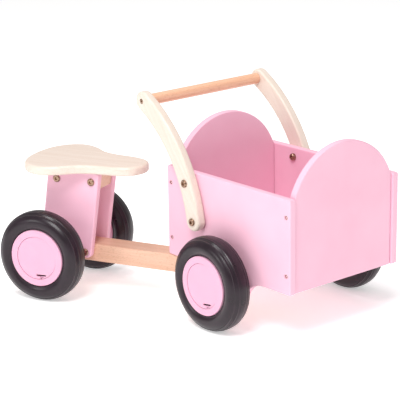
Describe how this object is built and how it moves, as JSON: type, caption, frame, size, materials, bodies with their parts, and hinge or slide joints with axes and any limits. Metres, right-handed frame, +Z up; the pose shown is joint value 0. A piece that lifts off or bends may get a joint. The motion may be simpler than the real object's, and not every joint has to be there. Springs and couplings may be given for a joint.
{
  "type": "ride-on cargo bike",
  "caption": "Wooden toddler ride-on: a saddle on a low beam, and an open cargo box with a handlebar that swings on a pivot to steer.",
  "frame": {"origin": "middle of the standing bike's bounding box, on the floor", "axes": "+X forwards along the beam, +Y to the rider's left, +Z up; the cargo box rests steered 24 degrees to the rider's right"},
  "size_m": [0.6256, 0.3792, 0.3456],
  "materials": {
    "pink_paint": "plywood under satin pale pink paint",
    "pale_birch": "pale birch, clear satin varnish",
    "beech": "warm beech, clear satin varnish",
    "pink_plastic": "moulded pale pink plastic, low gloss",
    "tyre": "smooth dark grey rubber, satin",
    "zinc_steel": "zinc plated steel",
    "dark_steel": "dark bronze coated steel"
  },
  "bodies": {
    "chassis": {"beam": "beech", "seat_block": "beech", "seat_board": "pale_birch", "rear_axle": "zinc_steel", "seat_panel_right": "pink_paint", "seat_panel_left": "pink_paint", "seat_bolt_rear_right": "dark_steel", "seat_bolt_front_right": "dark_steel", "seat_bolt_rear_left": "dark_steel", "seat_bolt_front_left": "dark_steel", "beam_bolt_right": "dark_steel", "beam_bolt_left": "dark_steel", "rear_spacer_right": "pink_plastic", "rear_spacer_left": "pink_plastic", "rear_washer_right": "zinc_steel", "rear_washer_left": "zinc_steel", "rear_push_nut_right": "zinc_steel", "rear_push_nut_left": "zinc_steel", "pivot_washer_upper": "zinc_steel", "pivot_washer_lower": "zinc_steel"},
    "cargo_box": {"front_panel": "pink_paint", "rear_panel": "pink_paint", "floor_panel": "pink_paint", "handlebar": "beech", "pivot_bolt": "zinc_steel", "pivot_nut": "zinc_steel", "side_panel_right": "pink_paint", "handle_arm_right": "pale_birch", "axle_block_right": "beech", "bar_screw_right": "dark_steel", "arm_bolt_lower_right": "dark_steel", "arm_bolt_upper_right": "dark_steel", "arm_nut_lower_right": "dark_steel", "arm_nut_upper_right": "dark_steel", "front_axle_right": "zinc_steel", "front_washer_right": "zinc_steel", "front_push_nut_right": "zinc_steel", "side_panel_left": "pink_paint", "handle_arm_left": "pale_birch", "axle_block_left": "beech", "bar_screw_left": "dark_steel", "arm_bolt_lower_left": "dark_steel", "arm_bolt_upper_left": "dark_steel", "arm_nut_lower_left": "dark_steel", "arm_nut_upper_left": "dark_steel", "front_axle_left": "zinc_steel", "front_washer_left": "zinc_steel", "front_push_nut_left": "zinc_steel"},
    "rear_right_wheel": {"rear_right_tyre": "tyre", "rear_right_hub": "pink_plastic", "rear_right_hub_cap": "pink_plastic"},
    "rear_left_wheel": {"rear_left_tyre": "tyre", "rear_left_hub": "pink_plastic", "rear_left_hub_cap": "pink_plastic"},
    "front_right_wheel": {"front_right_tyre": "tyre", "front_right_hub": "pink_plastic", "front_right_hub_cap": "pink_plastic"},
    "front_left_wheel": {"front_left_tyre": "tyre", "front_left_hub": "pink_plastic", "front_left_hub_cap": "pink_plastic"}
  },
  "joints": [
    {"name": "steer", "type": "hinge", "parent": "chassis", "child": "cargo_box", "pos_m": [0.20473, -0.04096, 0.083], "axis": [0, 0, 1], "range_deg": [-3, 51]},
    {"name": "rear_right_roll", "type": "hinge", "parent": "chassis", "child": "rear_right_wheel", "pos_m": [-0.23777, -0.12596, 0.075], "axis": [0, 1, 0], "continuous": true},
    {"name": "rear_left_roll", "type": "hinge", "parent": "chassis", "child": "rear_left_wheel", "pos_m": [-0.23777, 0.04404, 0.075], "axis": [0, 1, 0], "continuous": true},
    {"name": "front_right_roll", "type": "hinge", "parent": "cargo_box", "child": "front_right_wheel", "pos_m": [0.0766, -0.14558, 0.075], "axis": [0.4067, 0.9135, 0], "continuous": true},
    {"name": "front_left_roll", "type": "hinge", "parent": "cargo_box", "child": "front_left_wheel", "pos_m": [0.19675, 0.12428, 0.075], "axis": [0.4067, 0.9135, 0], "continuous": true}
  ]
}
